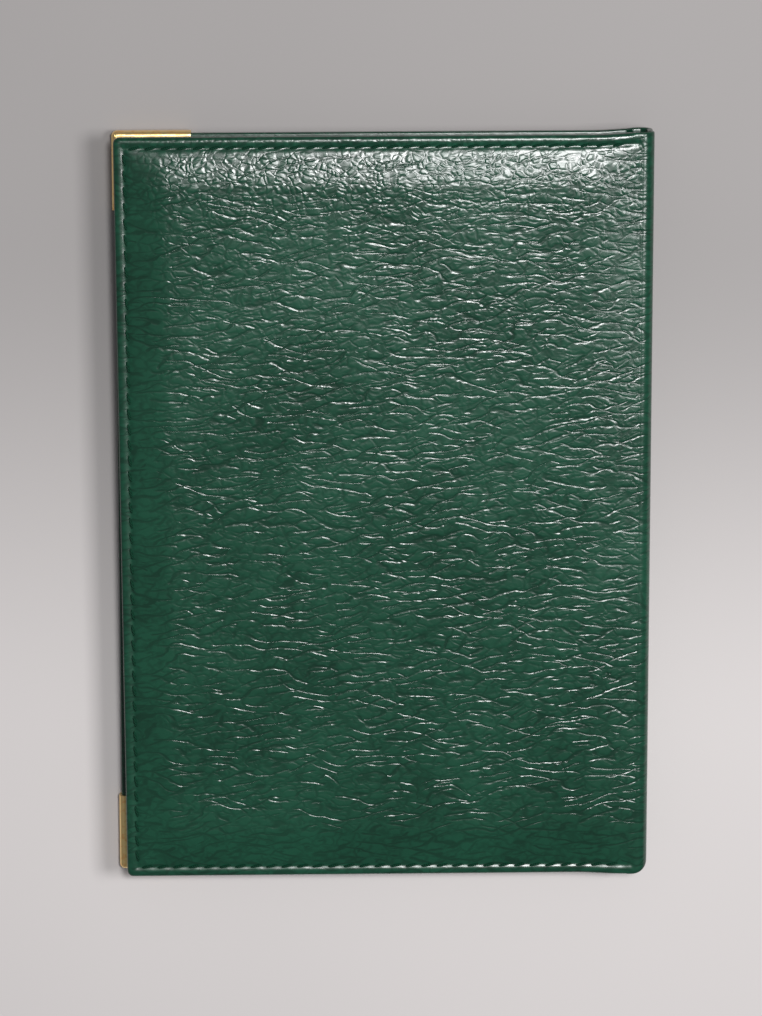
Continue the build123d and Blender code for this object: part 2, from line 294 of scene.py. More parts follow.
def grain_height(tree, place, length, height):
    """Height of the leather's pebble grain, from 0 in a crease to about 1 on a pebble.

    Towards the head the rows fade and the pebbles turn small and round.
    """
    deepest = None
    rows = lens_net(tree, place, height) + [furrow_rows(tree, place, 0.55, height * 2.1, 0.407)]
    for (distance, strength), share in zip(rows, (1.0, 0.9, 0.55)):
        crease = minus(tree, 1.0, ramp(tree, distance, 0.0, 0.21))
        crease = times(tree, times(tree, crease, strength), share)
        deepest = crease if deepest is None else maths(tree, "MAXIMUM", deepest, crease)
    waver = noise(tree, place, 260, 1.0).outputs["Color"]
    bent = vector_maths(tree, "ADD", place, vector_maths(
        tree, "MULTIPLY", vector_maths(tree, "SUBTRACT", waver, (0.5, 0.5, 0.5)), (0.003, 0.002, 0.002)))
    border = minus(tree, 1.0, ramp(tree, cells(tree, bent, (length, height)), 0.0, 0.2))
    small = cells(tree, bent, (length * 0.42, height * 0.72))
    fine = minus(tree, 1.0, ramp(tree, small, 0.0, 0.34))
    low = maths(tree, "MAXIMUM", deepest, times(tree, border, 0.38))
    across = node(tree, "ShaderNodeSeparateXYZ", {0: place}).outputs["Y"]
    low = times(tree, low, ramp(tree, across, *CLOSE_GRAIN, 1.0, 0.55))
    close = ramp(tree, across, *CLOSE_GRAIN, 0.20, 0.52)
    return minus(tree, minus(tree, 1.0, low), times(tree, fine, close))


def material(name):
    """A new material, its node tree and its principled shader."""
    made = bpy.data.materials.new(name)
    made.use_nodes = True
    made.node_tree.nodes.clear()
    tree = made.node_tree
    shader = tree.nodes.new("ShaderNodeBsdfPrincipled")
    output = tree.nodes.new("ShaderNodeOutputMaterial")
    tree.links.new(shader.outputs[0], output.inputs["Surface"])
    return made, tree, shader


def object_place(tree):
    """Object coordinates."""
    return tree.nodes.new("ShaderNodeTexCoord").outputs["Object"]


def tint(tree, colour, share):
    """A colour made lighter or darker by a factor."""
    return node(tree, "ShaderNodeVectorMath", {0: (*colour,), "Scale": share}, operation="SCALE").outputs[0]


def bump(tree, shader, height, distance):
    """Height as bump on the shader's normal."""
    made = node(tree, "ShaderNodeBump", {"Height": height, "Distance": distance, "Strength": 1.0})
    tree.links.new(made.outputs[0], shader.inputs["Normal"])


def pebbled_leather():
    """The outer leather: dyed calf with a pebble grain that runs across the cover, its colour darkened in the
    creases as painted shade.
    """
    settings = bpy.context.scene.notebook_leather
    made, tree, shader = material("pebbled leather")
    place = node(tree, "ShaderNodeAttribute", attribute_name="unrolled").outputs["Vector"]
    amount = node(tree, "ShaderNodeAttribute", attribute_name="grain").outputs["Fac"]
    height = grain_height(tree, place, settings.pebble_length, settings.pebble_height)
    pores = noise(tree, place, 2600, 2.0).outputs[0]
    lot = noise(tree, place, 40, 3.0).outputs[0]
    # Painted shade: the base colour darkens to 60 % in the creases of the grain and stays full on the
    # pebbles; the lot blotch is random tone.
    shade = plus(tree, ramp(tree, height, 0.1, 0.9, 0.6, 1.0), blotch(tree, lot, -0.12, 0.12))
    tree.links.new(tint(tree, settings.colour, shade), shader.inputs["Base Color"])
    rough = plus(tree, ramp(tree, height, 0.2, 1.0, 0.235, 0.265), blotch(tree, lot, -0.02, 0.03))
    tree.links.new(rough, shader.inputs["Roughness"])
    relief = plus(tree, times(tree, height, amount), times(tree, pores, 0.035))
    bump(tree, shader, relief, settings.grain_depth)
    shader.inputs["Specular IOR Level"].default_value = 0.5
    return made


def smooth_leather():
    """Thin calf for the pockets, with a fine close grain and painted shade at the borders of its cells."""
    settings = bpy.context.scene.notebook_leather
    made, tree, shader = material("pocket leather")
    place = object_place(tree)
    fine = ramp(tree, cells(tree, place, (0.0011, 0.0009)), 0.0, 0.3)
    lot = noise(tree, place, 60, 3.0).outputs[0]
    # Painted shade: the colour darkens at the borders of the fine grain's cells, where the bump dips; the lot
    # blotch is random tone.
    shade = plus(tree, ramp(tree, fine, 0.0, 1.0, 0.75, 0.95), blotch(tree, lot, -0.1, 0.15))
    tree.links.new(tint(tree, settings.colour, shade), shader.inputs["Base Color"])
    tree.links.new(blotch(tree, lot, 0.42, 0.52), shader.inputs["Roughness"])
    bump(tree, shader, fine, 0.04 * MM)
    return made


def waxed_thread():
    """Two-ply waxed thread: a slanting twist along each stitch, with painted shade in the twist's grooves and
    painted highlight on its crests.
    """
    settings = bpy.context.scene.notebook_thread
    made, tree, shader = material("waxed thread")
    place = object_place(tree)
    twist = maths(tree, "SINE", times(tree, dot(tree, place, (1.0, 0.8, 0.6)), 2 * math.pi / (0.45 * MM)))
    # Painted shade and highlight: the colour darkens in the grooves of the twist and lightens past the
    # thread's own colour on its crests.
    shade = ramp(tree, twist, -1, 1, 0.6, 1.15)
    tree.links.new(tint(tree, settings.colour, shade), shader.inputs["Base Color"])
    shader.inputs["Roughness"].default_value = 0.8
    shader.inputs["Specular IOR Level"].default_value = 0.12
    bump(tree, shader, twist, 0.06 * MM)
    return made


def polished_gilt():
    """Gilt brass with a soft waviness from pressing and light wear."""
    made, tree, shader = material("polished gilt")
    place = object_place(tree)
    wave = noise(tree, place, 260, 2.0).outputs[0]
    haze = noise(tree, place, 900, 4.0).outputs[0]
    shader.inputs["Metallic"].default_value = 1.0
    worn = node(tree, "ShaderNodeMix", {"Factor": ramp(tree, haze, 0.45, 0.7), 6: (1.0, 0.74, 0.34, 1),
                                        7: (0.92, 0.55, 0.21, 1)}, data_type="RGBA")
    tree.links.new(worn.outputs[2], shader.inputs["Base Color"])
    tree.links.new(blotch(tree, haze, 0.28, 0.38), shader.inputs["Roughness"])
    bump(tree, shader, wave, 0.12 * MM)
    return made


def ribbed_lining():
    """Fine ribbed cloth, its ribs running from head to foot, with painted shade between the ribs and painted
    highlight on them.
    """
    made, tree, shader = material("ribbed lining")
    place = node(tree, "ShaderNodeAttribute", attribute_name="unrolled").outputs["Vector"]
    split = node(tree, "ShaderNodeSeparateXYZ", {0: place})
    rib = maths(tree, "SINE", times(tree, split.outputs["X"], 2 * math.pi / (0.55 * MM)))
    weft = maths(tree, "SINE", times(tree, split.outputs["Y"], 2 * math.pi / (0.32 * MM)))
    weave = plus(tree, rib, times(tree, weft, 0.45))
    lot = noise(tree, place, 90, 3.0).outputs[0]
    # Painted shade and highlight: the colour darkens in the hollows of the weave and lightens on its ribs;
    # the lot blotch is random tone.
    shade = plus(tree, ramp(tree, weave, -1.4, 1.4, 0.7, 1.2), blotch(tree, lot, -0.12, 0.12))
    tree.links.new(tint(tree, (0.014, 0.05, 0.032), shade), shader.inputs["Base Color"])
    shader.inputs["Roughness"].default_value = 0.7
    shader.inputs["Sheen Weight"].default_value = 0.35
    shader.inputs["Sheen Roughness"].default_value = 0.4
    bump(tree, shader, weave, 0.05 * MM)
    return made


def ruled_paper():
    """Cream paper with a faint ruling and a trace of fibre."""
    settings = bpy.context.scene.notebook_refill
    made, tree, shader = material("ruled paper")
    place = object_place(tree)
    split = node(tree, "ShaderNodeSeparateXYZ", {0: place})
    phase = maths(tree, "WRAP", split.outputs["Y"], settings.ruling, 0.0)
    line = maths(tree, "COMPARE", phase, settings.ruling / 2, 0.11 * MM)
    inside = maths(tree, "LESS_THAN", maths(tree, "ABSOLUTE", plus(tree, split.outputs["Y"], 2 * MM)),
                   HALF_HEIGHT - 14 * MM)
    ink = times(tree, times(tree, line, inside), 0.55)
    fibre = noise(tree, place, 1500, 4.0).outputs[0]
    cloud = noise(tree, place, 120, 3.0).outputs[0]
    shade = plus(tree, blotch(tree, cloud, 0.96, 1.0), blotch(tree, fibre, -0.02, 0.02))
    mixed = node(tree, "ShaderNodeMix", {"Factor": ink, 6: tint(tree, settings.colour, shade),
                                         7: (0.33, 0.40, 0.48, 1)}, data_type="RGBA")
    tree.links.new(mixed.outputs[2], shader.inputs["Base Color"])
    shader.inputs["Roughness"].default_value = 0.85
    bump(tree, shader, fibre, 0.02 * MM)
    return made


def mottled(name, colour, roughness, scale, depth, metallic=0.0):
    """A plain finish with a mottled colour and a fine relief, for card, board, foam and wire."""
    made, tree, shader = material(name)
    place = object_place(tree)
    speck = noise(tree, place, scale, 4.0).outputs[0]
    cloud = noise(tree, place, scale * 0.08, 2.0).outputs[0]
    shade = plus(tree, blotch(tree, speck, 0.86, 1.0), blotch(tree, cloud, -0.05, 0.08))
    tree.links.new(tint(tree, colour, shade), shader.inputs["Base Color"])
    tree.links.new(blotch(tree, speck, roughness, roughness + 0.12), shader.inputs["Roughness"])
    shader.inputs["Metallic"].default_value = metallic
    bump(tree, shader, speck, depth)
    return made


# ------------------------------------------------------------------ mesh making


def mesh_object(name, points, faces, finish, attributes=None):
    """A smooth-shaded object at the origin, with sharp edges where faces meet steeply."""
    mesh = bpy.data.meshes.new(name)
    mesh.from_pydata([tuple(p) for p in points], [], faces)
    for attribute, values in (attributes or {}).items():
        values = np.asarray(values, np.float32)
        kind = "FLOAT_VECTOR" if values.ndim == 2 else "FLOAT"
        data = mesh.attributes.new(attribute, kind, "POINT").data
        data.foreach_set("vector" if values.ndim == 2 else "value", values.ravel())
    mesh.validate()
    mesh.shade_smooth()
    mesh.set_sharp_from_angle(angle=SHARP)
    mesh.materials.append(finish)
    made = bpy.data.objects.new(name, mesh)
    bpy.context.scene.collection.objects.link(made)
    return made


class WrappedSheet:
    """A closed sheet whose edges are rounded at the fore edge, the head and the foot.

    It is laid out on u, from the fore edge to the last column, and v, from foot to head. The outer
    face is a grid, the rounded edges are rings round it, and the inner face is one flat face up to
    flat_end and strips beyond. place(u, v, depth, lift) gives a point in the frame.
    """

    STEPS = 5

    def __init__(self, columns, rows, radius, rounds, thickness, fore, flat_end):
        self.columns, self.rows, self.radius = columns, rows, radius
        self.outer_round, self.inner_round = rounds
        self.thickness, self.fore, self.flat_end = thickness, fore, flat_end
        self.half = rows[-1] + self.outer_round

    def rounds(self, u):
        """The outer and inner edge radii, kept within the sheet's thickness."""
        most = 0.48 * self.thickness(u)
        return min(self.outer_round, most), min(self.inner_round, most)

    def rounded(self, a, b):
        """Insets of a grid point from the fore edge and from head or foot, moved to round the corner."""
        if a >= self.radius or b >= self.radius:
            return a, b
        p, q = self.radius - a, self.radius - b
        far, length = max(p, q), math.hypot(p, q)
        return self.radius - p * far / length, self.radius - q * far / length

    def add(self, u, v, depth, lift, run, amount):
        """Store one point with its unrolled place and its grain, and give its number."""
        self.points.append(self.place(u, v, depth, lift))
        self.unrolled.append((u + run[0], v + run[1], 0.0))
        self.amount.append(amount)
        self.plan.append((u, v))
        return len(self.points) - 1

    def outer_face(self, rise, grain):
        """The grid of the outer face, from the start of its rounded edges inwards."""
        turns = [math.pi / 2 * (self.STEPS - k) / self.STEPS for k in range(self.STEPS)]
        half, reach = self.half, self.columns[-1] - self.columns[0]
        grid = []
        for i in range(self.STEPS + len(self.columns)):
            near = i < self.STEPS
            u_flat = self.columns[i - self.STEPS]
            if near:
                u_flat = self.fore(0) + self.outer_round * (1 - math.sin(turns[i]))
            a = u_flat - self.fore(0)
            outer, _ = self.rounds(u_flat)
            insets = [outer * (1 - math.sin(turn)) for turn in turns]
            line = [(-1, b) for b in insets] + [(1 if v > 0 else -1, half - abs(v)) for v in self.rows]
            line += [(1, b) for b in reversed(insets)]
            column = []
            for sign, b in line:
                a_round, b_round = self.rounded(a, b)
                ring = min(a, b)
                depth = outer - math.sqrt(outer ** 2 - (outer - ring) ** 2) if ring < outer else 0.0
                v = sign * (half - b_round)
                share = max(0.0, 1 - 2 * a / reach)
                u = self.fore(0) + a_round + (self.fore(v) - self.fore(0)) * share
                lift = rise(u, v, ring, u_flat) if depth == 0 else 0.0
                column.append(self.add(u, v, depth, lift, (0, 0), grain(u, v, ring)))
            grid.append(column)
        for near, far in zip(grid, grid[1:]):
            for j in range(len(near) - 1):
                self.faces.append((near[j], far[j], far[j + 1], near[j + 1]))
        return grid

    def outward(self, u, v, on_fore):
        """The direction away from the sheet at a point of its rim."""
        near_u, near_v = u - self.fore(v), self.half - abs(v)
        sign = 1.0 if v >= 0 else -1.0
        if near_u < self.radius - 1e-9 and near_v < self.radius - 1e-9:
            return Vector((near_u - self.radius, sign * (self.radius - near_v))).normalized()
        return Vector((-1.0, 0.0)) if on_fore else Vector((0.0, sign))

    def build(self, name, place, finish, rise, grain, lip=1.6 * MM):
        """Make the mesh. rise(u, v, inset, flat u) lifts the outer face; grain(u, v, inset) is stored."""
        self.place, self.faces = place, []
        self.points, self.unrolled, self.amount, self.plan = [], [], [], []
        grid = self.outer_face(rise, grain)
        last, top = len(grid) - 1, len(grid[0]) - 1
        rim = [(i, 0) for i in range(last, 0, -1)] + [(0, j) for j in range(top + 1)]
        rim += [(i, top) for i in range(1, last + 1)]
        loop = [grid[i][j] for i, j in rim]
        normals = [self.outward(*self.plan[k], i == 0) for k, (i, j) in zip(loop, rim)]
        starts = [self.plan[k] for k in loop]
        turns = [math.pi / 2 * k / self.STEPS for k in range(self.STEPS + 1)]
        rings = []
        for turn in turns + [None]:
            ring = []
            for (u, v), normal, k in zip(starts, normals, loop):
                outer, inner = self.rounds(u)
                thick = self.thickness(u)
                inset = lip if turn is None else inner * (1 - math.cos(turn))
                depth = thick if turn is None else thick - inner * (1 - math.sin(turn))
                run = depth - outer + 2 * inset
                ring.append(self.add(u - normal.x * inset, v - normal.y * inset, depth, 0.0,
                                     (normal.x * run, normal.y * run), 0.35 * self.amount[k]))
            rings.append(ring)
        previous = loop
        for ring in rings:
            for k in range(len(ring) - 1):
                self.faces.append((previous[k], previous[k + 1], ring[k + 1], ring[k]))
            previous = ring
        count, pair = len(previous), 0
        while starts[pair + 1][0] > self.flat_end:
            self.faces.append((previous[pair], previous[pair + 1], previous[count - 2 - pair],
                               previous[count - 1 - pair]))
            pair += 1
        self.faces.append(tuple(previous[pair:count - pair]))
        cap = [ring[0] for ring in reversed(rings)] + grid[last] + [ring[-1] for ring in rings]
        self.faces.append(tuple(reversed(cap)))
        stored = {"unrolled": self.unrolled, "grain": self.amount}
        return mesh_object(name, self.points, self.faces, finish, stored)


def soft_band(columns, half, rows, near, far, thickness, inner_end=False):
    """Points and faces of a thin sheet with soft edges, and one at its inner end too if inner_end is true.

    columns are distances u. half(u) is the sheet's half height there. near and far give the points of
    its two faces for (u, v, ease-in), where ease-in is how far each face draws in at a soft edge.

    Known fault: rows are in metres and are still multiplied by the half height, which draws them all
    close to mid height.
    """
    edge = thickness / 2
    insets = [0.04 * edge, 0.3 * edge, edge]
    first = columns[0]
    lines = [first + b for b in insets] + [u for u in columns if u > first + edge]
    if inner_end:
        lines = [u for u in lines if u < columns[-1] - edge] + [columns[-1] - b for b in reversed(insets)]
    sides = ([], [])
    points, faces, unrolled = [], [], []
    for u in lines:
        tall = half(u)
        vs = [b - tall for b in insets] + [v * (tall - 2 * edge) for v in rows]
        vs += [tall - b for b in reversed(insets)]
        for side, face in zip(sides, (near, far)):
            column = []
            for v in vs:
                ring = min([tall - abs(v), u - first] + ([columns[-1] - u] if inner_end else []))
                draw = edge - math.sqrt(max(edge ** 2 - max(edge - ring, 0.0) ** 2, 0.0))
                column.append(len(points))
                points.append(face(u, v, draw))
                unrolled.append((u, v, 0.0))
            side.append(column)
    outer, inner = sides
    for i in range(len(lines) - 1):
        for j in range(len(outer[0]) - 1):
            faces.append((outer[i][j], outer[i + 1][j], outer[i + 1][j + 1], outer[i][j + 1]))
            faces.append((inner[i][j + 1], inner[i + 1][j + 1], inner[i + 1][j], inner[i][j]))
        faces.append((inner[i][0], inner[i + 1][0], outer[i + 1][0], outer[i][0]))
        faces.append((outer[i][-1], outer[i + 1][-1], inner[i + 1][-1], inner[i][-1]))
    for j in range(len(outer[0]) - 1):
        faces.append((outer[0][j], outer[0][j + 1], inner[0][j + 1], inner[0][j]))
        faces.append((inner[-1][j], inner[-1][j + 1], outer[-1][j + 1], outer[-1][j]))
    return points, faces, unrolled


def rounded_half(half, fore, radius):
    """The half height of a sheet with rounded fore corners, as a function of u."""
    def at(u):
        a = u - fore
        return half - (radius - math.sqrt(max(radius ** 2 - (radius - a) ** 2, 0.0)) if a < radius else 0.0)
    return at


def spaced(start, stop, step):
    """Evenly spaced values from start to stop, about a step apart."""
    count = max(1, round(abs(stop - start) / step))
    return [start + (stop - start) * k / count for k in range(count + 1)]


def ease(value):
    """Smooth step from 0 to 1."""
    value = min(max(value, 0.0), 1.0)
    return value * value * (3 - 2 * value)


# ------------------------------------------------------------------ the cover's section


def along(u, depth):
    """The section of a cover and half the spine: u from the hinge line, depth from the rim's face.

    Returns x in the frame and the height above the lining's page side.
    """
    if u <= 0:
        return HINGE_X + u, RIM - depth
    if u <= ARC:
        turn = u / ARC * math.pi / 2
        reach = BEND_OUTER - depth
        return HINGE_X + reach * math.sin(turn), BEND_DEPTH + reach * math.cos(turn)
    return SPINE_X - depth, BEND_DEPTH - (u - ARC)


def spine_end(x, v):
    """v, moved where the gathered leather stands proud at the head and rounds off at the foot."""
    head = 0.45 * MM * ease((x - SPINE_X + 11 * MM) / (10 * MM)) * ease((v - HALF_HEIGHT + 7 * MM) / (6 * MM))
    reach = min(max((x - SPINE_X + 3.2 * MM) / (3.2 * MM), 0.0), 1.0)
    low = ease((5 * MM - HALF_HEIGHT - v) / (4 * MM))
    rounding = 2.3 * MM * (1 - math.sqrt(1 - reach ** 2))
    bulge = 0.4 * MM * ease((x - SPINE_X + 14 * MM) / (9 * MM))
    return v + head + (rounding - bulge) * low


def back_place(u, v, depth, lift):
    """A point of the back cover's sheets in the frame."""
    x, w = along(u, depth)
    return (x, spine_end(x, v), PAGE_FACE + w + lift)


def front_place(u, v, depth, lift):
    """A point of the front cover's sheets in the frame."""
    x, w = along(u, depth)
    return (x, spine_end(x, v), 2 * MID_Z - PAGE_FACE - w - lift)


def back_fore(v):
    """The back cover's fore edge, from the hinge line: the same at every v."""
    return BACK_LOW[0] - HINGE_X


def front_fore(v):
    """The front cover's fore edge at v: a little further out at the foot than at the head."""
    return FRONT_LOW[0] - HINGE_X + FRONT_SKEW * (v + HALF_HEIGHT)


def skin_thickness(u):
    """Depth of the leather's wrapped section: boards and turned edge, then the bend, then the spine."""
    bend = bpy.context.scene.notebook_leather.thickness * 1.1
    if u < ARC / 2:
        return SLAB + (bend - SLAB) * ease((u + THIN_FROM) / (1.4 * MM))
    return bend + (SPINE_STACK - bend) * ease((u - ARC) / (0.6 * MM))


def skin_rise(width, phase):
    """How the leather stands over its padding, with the seam's groove and slow hand-made waves."""
    settings = bpy.context.scene.notebook_leather
    inset, groove, slope = settings.seam_inset, settings.seam_groove, settings.slope
    pitch = bpy.context.scene.notebook_thread.pitch

    def rise(u, v, ring, u_flat):
        if u_flat > 0:
            return 0.0
        fall = 1.0
        for near, breadth in ((HALF_HEIGHT - abs(v), slope), (u + width, slope), (-u + inset, slope * 1.3)):
            share = min(max((near - inset - 0.3 * MM) / breadth, 0.0), 1.0)
            fall *= 1 - (1 - share) ** 1.3
        lengthways = u if HALF_HEIGHT - abs(v) < ring + 0.1 * MM else v
        pull = 0.84 + 0.16 * math.cos(2 * math.pi * lengthways / pitch)
        seam = groove * pull * math.exp(-((ring - inset) / (0.48 * MM)) ** 2)
        rim = 0.05 * MM * math.exp(-((ring - 1.05 * MM) / (0.4 * MM)) ** 2)
        wave = 0.035 * MM * fall * (math.sin(u / (9.5 * MM) + 1.3 * math.sin(v / (13 * MM)) + phase)
                                    + math.sin(v / (11 * MM) + 1.1 * math.sin(u / (17 * MM))))
        return (PADDING - WAVE_ROOM) * fall + wave + (rim - seam) * ease(-u / (1.0 * MM))
    return rise


def skin_grain(width):
    """How strong the grain is: full on the padding, faint on the rim, the fore border and the foot."""
    def grain(u, v, ring):
        border = 0.35 + 0.65 * ease((ring - 2.5 * MM) / (2 * MM)) if u < 0 else 0.5
        fore = 0.30 + 0.70 * ease((u + width - 4 * MM) / (7 * MM))
        foot = 0.35 + 0.65 * ease((v + HALF_HEIGHT - 6 * MM) / (10 * MM))
        return border * fore * foot
    return grain


def skin_lines(fore):
    """Columns and rows of the leather's grid, closer at the edges, the seam and the bend."""
    step = bpy.context.scene.notebook_leather.grid
    near = [inset * MM for inset in (0.65, 1.0, 1.3, 1.55, 1.78, 2.0, 2.22, 2.45, 2.75)]
    field = 3.15 * MM
    columns = [fore + inset for inset in near] + spaced(fore + field, -3.0 * MM, step)
    columns += spaced(-2.8 * MM, 0.0, 0.2 * MM) + spaced(0.0, ARC, 0.2 * MM)[1:]
    columns += spaced(ARC, ARC + HALF_SPINE, 0.25 * MM)[1:]
    rows = [inset - HALF_HEIGHT for inset in near] + spaced(field - HALF_HEIGHT, HALF_HEIGHT - field, step)
    rows += [HALF_HEIGHT - inset for inset in reversed(near)]
    return columns, rows


def carve_grain(piece):
    """Give the leather's outer face the domes of its pebbles, with a Geometry Nodes tree."""
    settings = bpy.context.scene.notebook_leather
    tree, depth = geometry_tree("Leather grain", {"Depth": "NodeSocketFloat"})
    entry = tree.nodes["Group Input"]
    place = named_attribute(tree, "unrolled", "FLOAT_VECTOR")
    amount = named_attribute(tree, "grain", "FLOAT")
    dome = pebble_dome(tree, place, settings.pebble_height)
    rise = times(tree, times(tree, minus(tree, dome, 0.7), amount),
                 entry.outputs["Depth"])
    normal = tree.nodes.new("GeometryNodeInputNormal").outputs[0]
    offset = node(tree, "ShaderNodeVectorMath", {0: normal, "Scale": rise}, operation="SCALE").outputs[0]
    moved = node(tree, "GeometryNodeSetPosition", {"Geometry": entry.outputs["Geometry"], "Offset": offset})
    finished(tree, moved.outputs[0], piece.data.materials[0])
    return applied(piece, tree, {depth["Depth"]: settings.grain_depth * 0.3})


# ------------------------------------------------------------------ Geometry Nodes


def geometry_tree(name, inputs):
    """A Geometry Nodes tree with named inputs, and each input's identifier."""
    tree = bpy.data.node_groups.new(name, "GeometryNodeTree")
    tree.is_modifier = True
    tree.interface.new_socket("Geometry", in_out="INPUT", socket_type="NodeSocketGeometry")
    identifiers = {}
    for key, kind in inputs.items():
        identifiers[key] = tree.interface.new_socket(key, in_out="INPUT", socket_type=kind).identifier
    tree.interface.new_socket("Geometry", in_out="OUTPUT", socket_type="NodeSocketGeometry")
    tree.nodes.new("NodeGroupInput")
    tree.nodes.new("NodeGroupOutput")
    return tree, identifiers


def named_attribute(tree, name, kind):
    """The values that a mesh stores under a name."""
    return node(tree, "GeometryNodeInputNamedAttribute", {"Name": name}, data_type=kind).outputs[0]


def finished(tree, geometry, finish):
    """End a tree in Realize Instances and Set Material."""
    real = node(tree, "GeometryNodeRealizeInstances", {"Geometry": geometry})
    coated = node(tree, "GeometryNodeSetMaterial", {"Geometry": real.outputs[0], "Material": finish})
    tree.links.new(coated.outputs[0], tree.nodes["Group Output"].inputs[0])


def applied(piece, tree, values):
    """Run a Geometry Nodes tree on a piece and keep the result as its plain mesh."""
    modifier = piece.modifiers.new(tree.name, "NODES")
    modifier.node_group = tree
    for identifier, value in values.items():
        modifier[identifier] = value
    bpy.context.view_layer.update()
    done = bpy.data.meshes.new_from_object(piece.evaluated_get(bpy.context.evaluated_depsgraph_get()))
    piece.modifiers.clear()
    old = piece.data
    piece.data = done
    bpy.data.meshes.remove(old)
    done.name = piece.name
    return piece


def stitch_tree(finish):
    """Lays one stitch at every pitch along each run of the guide, turned over where the seam faces down."""
    tree, inputs = geometry_tree("Stitches", {
        "Pitch": "NodeSocketFloat", "Length": "NodeSocketFloat", "Diameter": "NodeSocketFloat",
        "Slant": "NodeSocketFloat"})
    entry = tree.nodes["Group Input"]
    half_long = times(tree, entry.outputs["Length"], 0.5)
    half_wide = times(tree, entry.outputs["Diameter"], 0.5)
    ball = node(tree, "GeometryNodeMeshUVSphere", {"Segments": 8, "Rings": 8, "Radius": 1.0})
    split = node(tree, "ShaderNodeSeparateXYZ", {0: tree.nodes.new("GeometryNodeInputPosition").outputs[0]})
    x, y, z = split.outputs
    across = maths(tree, "SQRT", plus(tree, times(tree, x, x), times(tree, y, y)))
    fuller = maths(tree, "POWER", maths(tree, "MAXIMUM", across, 0.02), -0.42)
    wide = times(tree, fuller, half_wide)
    ends = times(tree, maths(tree, "POWER", maths(tree, "ABSOLUTE", z), 4.0), half_wide)
    shaped = node(tree, "ShaderNodeCombineXYZ", {
        0: times(tree, z, half_long), 1: times(tree, x, wide),
        2: minus(tree, times(tree, times(tree, y, wide), 0.85), ends)})
    stitch = node(tree, "GeometryNodeSetPosition", {
        "Geometry": ball.outputs[0], "Position": shaped.outputs[0]})
    smooth = node(tree, "GeometryNodeSetShadeSmooth", {"Geometry": stitch.outputs[0]})
    runs = node(tree, "GeometryNodeMeshToCurve", {"Mesh": entry.outputs["Geometry"]})
    evened = node(tree, "GeometryNodeResampleCurve", {
        "Curve": runs.outputs[0], "Length": times(tree, entry.outputs["Pitch"], 0.9999)}, mode="LENGTH")
    tangent = tree.nodes.new("GeometryNodeInputTangent").outputs[0]
    turned = node(tree, "FunctionNodeAlignRotationToVector", {"Vector": tangent}, axis="X", pivot_axis="Z")
    down = named_attribute(tree, "faces_down", "FLOAT")
    side = minus(tree, 1.0, times(tree, down, 2.0))
    local = node(tree, "ShaderNodeCombineXYZ", {
        0: times(tree, down, math.pi),
        2: times(tree, entry.outputs["Slant"], side)})
    local = node(tree, "FunctionNodeEulerToRotation", {0: local.outputs[0]})
    turned = node(tree, "FunctionNodeRotateRotation", {
        "Rotation": turned.outputs[0], "Rotate By": local.outputs[0]}, rotation_space="LOCAL")
    laid = node(tree, "GeometryNodeInstanceOnPoints", {
        "Points": evened.outputs[0], "Instance": smooth.outputs[0], "Rotation": turned.outputs[0]})
    finished(tree, laid.outputs[0], finish)
    return tree, inputs


# ------------------------------------------------------------------ pieces


def finish_for(name):
    """The named finish, made when first asked for."""
    return bpy.data.materials.get(name) or FINISHES[name]()


def face_out(piece, place):
    """Turn a piece of the front cover right side out, because it is laid out like the back cover's."""
    if place is front_place:
        piece.data.flip_normals()
    return piece


def make_skin(name, place, fore, phase):
    """The padded leather of one cover with its bend and its half of the spine."""
    columns, rows = skin_lines(fore(0))
    sheet = WrappedSheet(columns, rows, CORNER, (0.65 * MM, 0.35 * MM), skin_thickness, fore,
                         -THIN_FROM - 0.05 * MM)
    width = -fore(0)
    made = sheet.build(name, place, finish_for("pebbled leather"), skin_rise(width, phase), skin_grain(width))
    return carve_grain(face_out(made, place))


def bend_with_spine(piece, cover):
    """Bake a piece's place into its mesh; the heights of the given cover's bend are worked out but not used.
    """
    high, low = BEND_HIGH[2], BEND_LOW[2] - 0.3 * MM
    if cover == "front_cover":
        high, low = 2 * MID_Z - high, 2 * MID_Z - low
    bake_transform(piece)


def notch(u, v, fore):
    """How far the front cover's inner sheets step back from a gilt corner, towards the spine."""
    a = u - fore(v)
    step = (GILT_BAND - STRIP) * ease((abs(v) - HALF_HEIGHT + GILT_LEG + 0.25 * MM) / (0.25 * MM))
    return step * max(0.0, 1 - (a - STRIP) / (10 * MM))


def notched_half(half, fore, cut, radius):
    """The half height of an inner sheet, lower beside a gilt corner when cut is true."""
    plain = rounded_half(half, fore + STRIP, radius)

    def at(u):
        low = (GILT_BAND - STRIP) * ease((fore + GILT_LEG + 0.25 * MM - u) / (0.25 * MM)) if cut else 0.0
        return plain(u) - low
    return at


def inner_lines(fore, cut):
    """Columns to the hinge and rows for an inner sheet, closer beside the seam and a gilt corner's ends."""
    start = fore + STRIP
    columns = [start] + [start + a * MM for a in (0.5, 0.62, 0.8, 1.0, 1.2)]
    leg = fore + GILT_LEG
    columns += spaced(start + 1.5 * MM, leg - 0.2 * MM, 1.6 * MM) + [leg, leg + 0.13 * MM, leg + 0.25 * MM]
    columns += spaced(leg + 0.6 * MM, -1.0 * MM, 1.8 * MM)
    top = HALF_HEIGHT - GILT_BAND - 0.6 * MM if cut else HALF_HEIGHT - STRIP - 1.6 * MM
    step = HALF_HEIGHT - GILT_LEG
    upper = spaced(step + 0.6 * MM, top, 1.6 * MM)
    upper += [step + a * MM for a in (-0.3, -0.2, -0.12, 0.0, 0.1)]
    rows = spaced(-step + 0.6 * MM, step - 0.6 * MM, 1.9 * MM)
    return columns, sorted(rows + upper + [-v for v in upper])


